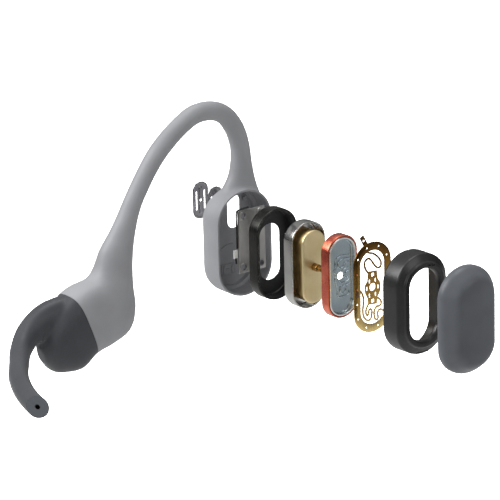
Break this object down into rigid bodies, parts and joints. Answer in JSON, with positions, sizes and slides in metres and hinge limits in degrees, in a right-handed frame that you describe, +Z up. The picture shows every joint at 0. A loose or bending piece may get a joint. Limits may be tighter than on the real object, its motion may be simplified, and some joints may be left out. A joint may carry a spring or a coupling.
{
  "type": "bone conduction headphones",
  "caption": "Bone conduction headphones: elastic neckband with ear hooks and housings; the left transducer is drawn apart along its axis, the right one closed.",
  "frame": {"origin": "midway between the outer faces of the two heads, on the axis through both transducers, where the middle of the wearer's head is", "axes": "+X towards the wearer's right, along the transducers' axis; +Y forwards, away from the neckband; +Z up"},
  "size_m": [0.1392, 0.0958, 0.0561],
  "materials": {
    "grey_silicone": "soft matt silicone skin, mid grey",
    "dark_silicone": "soft matt silicone skin, dark slate",
    "pad_silicone": "soft satin silicone, dark grey",
    "black_plastic": "moulded, satin black",
    "key_plastic": "moulded, satin grey",
    "white_plastic": "moulded nylon, off-white",
    "gunmetal": "dark nickel plating, satin",
    "bright_nickel": "bright nickel plating",
    "satin_steel": "stamped stainless sheet, satin",
    "champagne_plating": "warm champagne plating, glossy",
    "bronze": "turned bronze, dark",
    "copper_wire": "enamelled copper winding",
    "silver_plate": "stamped sheet with raised relief, bright",
    "gold_spring_steel": "etched spring alloy, golden",
    "titanium": "drawn wire, satin",
    "circuit_board": "green solder resist",
    "battery_foil": "laminated foil pouch, matt"
  },
  "bodies": {
    "left_half": {"left_ear_hook": "grey_silicone", "left_hook_wire": "titanium", "left_battery_housing": "dark_silicone", "left_battery": "battery_foil", "neckband_cover_left": "dark_silicone", "neckband_wire_left": "titanium", "button_switch": "satin_steel"},
    "right_half": {"right_vent_plate_outer": "bright_nickel", "right_vent_plate_inner": "bright_nickel", "right_bracket": "satin_steel", "right_bracket_lead": "black_plastic", "right_lead_plug": "white_plastic", "right_damping_ring": "gunmetal", "right_yoke_cup": "bright_nickel", "right_magnet": "champagne_plating", "right_magnet_top_plate": "champagne_plating", "right_centre_pin": "bronze", "right_voice_coil": "copper_wire", "right_coil_plate": "silver_plate", "right_spring_plate": "gold_spring_steel", "right_transducer_frame": "black_plastic", "right_contact_pad": "pad_silicone", "right_ear_hook": "grey_silicone", "right_hook_wire": "titanium", "right_control_housing": "dark_silicone", "neckband_cover_right": "dark_silicone", "neckband_wire_right": "titanium", "main_circuit_board": "circuit_board", "charging_port": "black_plastic"},
    "vent_inner": {"left_vent_plate_inner": "bright_nickel"},
    "vent_outer": {"left_vent_plate_outer": "bright_nickel"},
    "bracket": {"left_bracket": "satin_steel", "left_bracket_lead": "black_plastic", "left_lead_plug": "white_plastic"},
    "damping_ring": {"left_damping_ring": "gunmetal"},
    "magnet_system": {"left_yoke_cup": "bright_nickel", "left_magnet": "champagne_plating", "left_magnet_top_plate": "champagne_plating", "left_centre_pin": "bronze"},
    "moving_coil": {"left_voice_coil": "copper_wire", "left_coil_plate": "silver_plate"},
    "spring_plate": {"left_spring_plate": "gold_spring_steel"},
    "transducer_frame": {"left_transducer_frame": "black_plastic"},
    "contact_pad": {"left_contact_pad": "pad_silicone"},
    "multifunction_key": {"multifunction_button": "key_plastic"},
    "volume_up_key": {"volume_up_button": "key_plastic"},
    "volume_down_key": {"volume_down_button": "key_plastic"}
  },
  "joints": [
    {"name": "neckband_flex", "type": "hinge", "parent": "left_half", "child": "right_half", "pos_m": [0, -0.0856, -0.0123], "axis": [0, 0, -1], "range_deg": [-4, 14], "stiffness_Nm_per_rad": 0.25},
    {"name": "bracket_slide", "type": "slide", "parent": "left_half", "child": "bracket", "axis": [1, 0, 0], "range_m": [-0.008, 0]},
    {"name": "damping_ring_slide", "type": "slide", "parent": "bracket", "child": "damping_ring", "axis": [1, 0, 0], "range_m": [-0.00585, 0]},
    {"name": "magnet_system_slide", "type": "slide", "parent": "damping_ring", "child": "magnet_system", "axis": [1, 0, 0], "range_m": [-0.01045, 0]},
    {"name": "moving_coil_slide", "type": "slide", "parent": "magnet_system", "child": "moving_coil", "axis": [1, 0, 0], "range_m": [-0.0085, 0]},
    {"name": "spring_plate_slide", "type": "slide", "parent": "moving_coil", "child": "spring_plate", "axis": [1, 0, 0], "range_m": [-0.0098, 0]},
    {"name": "transducer_frame_slide", "type": "slide", "parent": "spring_plate", "child": "transducer_frame", "axis": [1, 0, 0], "range_m": [-0.016, 0]},
    {"name": "contact_pad_slide", "type": "slide", "parent": "transducer_frame", "child": "contact_pad", "axis": [1, 0, 0], "range_m": [-0.013, 0]},
    {"name": "vent_inner_slide", "type": "slide", "parent": "left_half", "child": "vent_inner", "axis": [-1, 0, 0], "range_m": [-0.00625, 0]},
    {"name": "vent_outer_slide", "type": "slide", "parent": "vent_inner", "child": "vent_outer", "axis": [-1, 0, 0], "range_m": [-0.0052, 0]},
    {"name": "multifunction_press", "type": "slide", "parent": "left_half", "child": "multifunction_key", "axis": [1, 0, 0], "range_m": [0, 0.0003], "stiffness_N_per_m": 1500},
    {"name": "volume_up_press", "type": "slide", "parent": "right_half", "child": "volume_up_key", "axis": [0, -0.3134, 0.9496], "range_m": [0, 0.0004], "stiffness_N_per_m": 1500},
    {"name": "volume_down_press", "type": "slide", "parent": "right_half", "child": "volume_down_key", "axis": [0, -0.3134, 0.9496], "range_m": [0, 0.0004], "stiffness_N_per_m": 1500}
  ]
}
